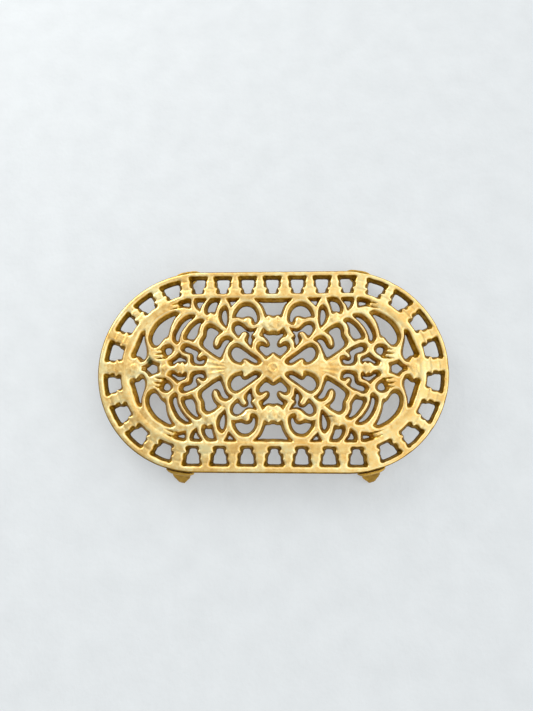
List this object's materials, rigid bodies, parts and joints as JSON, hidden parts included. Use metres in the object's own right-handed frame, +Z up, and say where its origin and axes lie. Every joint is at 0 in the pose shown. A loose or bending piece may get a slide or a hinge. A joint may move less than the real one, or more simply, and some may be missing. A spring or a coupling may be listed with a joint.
{
  "type": "vanity tray",
  "caption": "Oval openwork brass tray on splayed feet, with a scrolled filigree panel inside a gallery of baluster openings.",
  "frame": {"origin": "middle of the footprint, on the surface that the feet stand on", "axes": "+X along the long axis to the right, +Y to the back, +Z up"},
  "size_m": [0.2, 0.1295, 0.0175],
  "materials": {
    "cast_brass": "satin cast, hand finished on top, dark patina in the openings",
    "foot_brass": "rough cast with dark patina",
    "screw_brass": "turned, lightly tarnished"
  },
  "bodies": {
    "root": {"tray_plate": "cast_brass", "foot_front_left": "foot_brass", "foot_front_right": "foot_brass", "foot_rear_left": "foot_brass", "foot_rear_right": "foot_brass", "screw_front_left": "screw_brass", "screw_front_right": "screw_brass", "screw_rear_left": "screw_brass", "screw_rear_right": "screw_brass"}
  },
  "joints": []
}
